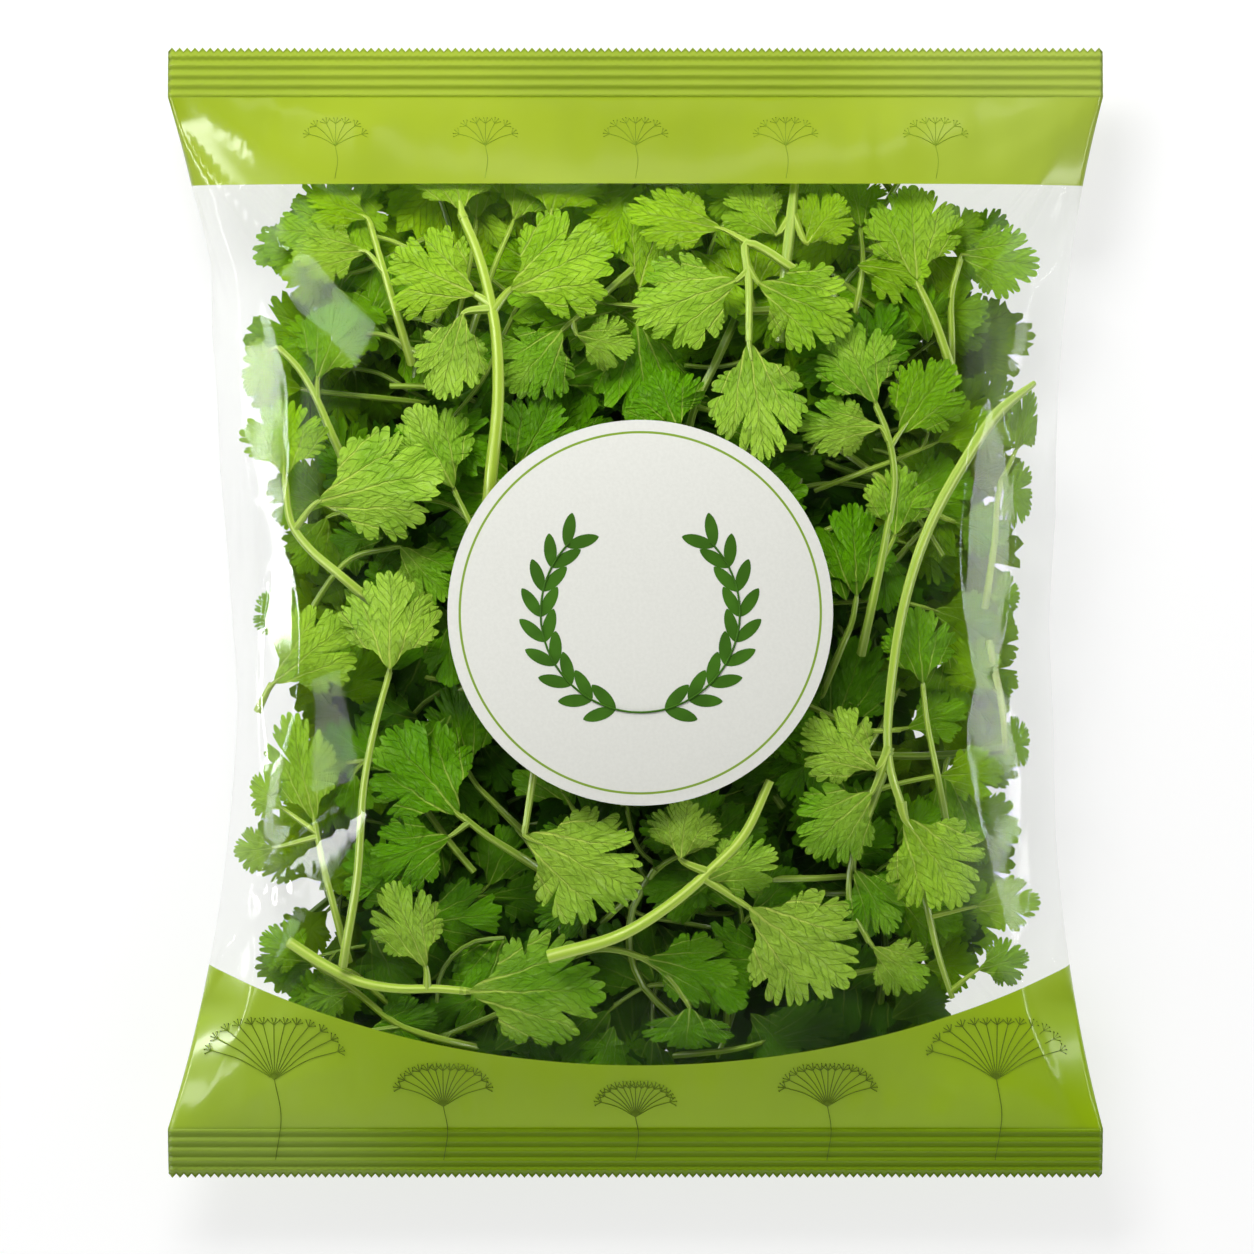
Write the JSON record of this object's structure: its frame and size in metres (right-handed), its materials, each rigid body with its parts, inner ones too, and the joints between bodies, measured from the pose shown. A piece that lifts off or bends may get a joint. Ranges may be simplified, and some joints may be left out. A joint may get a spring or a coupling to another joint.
{
  "type": "bagged fresh coriander",
  "caption": "Clear pillow bag with crimped end seals and a round label, full of leafy cut coriander sprigs, lying on its back.",
  "frame": {"origin": "on the surface the bag lies on, below the middle of the bag", "axes": "+X across the bag, +Y along it towards the top seal, +Z out of its front, with the label on top"},
  "size_m": [0.2, 0.242, 0.0544],
  "materials": {
    "film": "clear, glossy, printed green at both ends",
    "label": "coated paper, satin",
    "leaf": "matte leaf, slightly translucent",
    "inner_leaf": "matte leaf, slightly translucent"
  },
  "bodies": {
    "root": {"film_bag": "film", "round_label": "label", "sprig_bottom_arch": "leaf", "sprig_bottom_left": "leaf", "sprig_bottom_left_tail": "leaf", "sprig_bottom_right_leaf": "leaf", "sprig_bottom_trail": "leaf", "sprig_centre_right": "leaf", "sprig_inner_01": "inner_leaf", "sprig_inner_02": "inner_leaf", "sprig_inner_03": "inner_leaf", "sprig_inner_04": "inner_leaf", "sprig_inner_05": "inner_leaf", "sprig_inner_06": "inner_leaf", "sprig_inner_07": "inner_leaf", "sprig_inner_08": "inner_leaf", "sprig_inner_09": "inner_leaf", "sprig_inner_10": "inner_leaf", "sprig_inner_11": "inner_leaf", "sprig_inner_12": "inner_leaf", "sprig_inner_13": "inner_leaf", "sprig_inner_14": "inner_leaf", "sprig_inner_15": "inner_leaf", "sprig_inner_16": "inner_leaf", "sprig_label_left_leaf": "leaf", "sprig_label_top_leaf": "leaf", "sprig_left_big": "leaf", "sprig_left_bright": "leaf", "sprig_left_column": "leaf", "sprig_left_edge_top": "leaf", "sprig_left_glare": "leaf", "sprig_left_low_back": "leaf", "sprig_left_mid": "leaf", "sprig_long_right": "leaf", "sprig_low_centre": "leaf", "sprig_low_left_pair": "leaf", "sprig_low_left_top": "leaf", "sprig_low_right_pair": "leaf", "sprig_pale_right": "leaf", "sprig_right_branch": "leaf", "sprig_right_column": "leaf", "sprig_right_edge_mid": "leaf", "sprig_right_edge_top": "leaf", "sprig_right_low_stem": "leaf", "sprig_top_centre_leaf": "leaf", "sprig_top_left_arch": "leaf", "sprig_top_left_corner": "leaf", "sprig_top_pale": "leaf", "sprig_top_right_back": "leaf", "sprig_top_right_leaf": "leaf", "sprig_top_right_trio": "leaf", "sprig_upper_centre_pair": "leaf"}
  },
  "joints": []
}
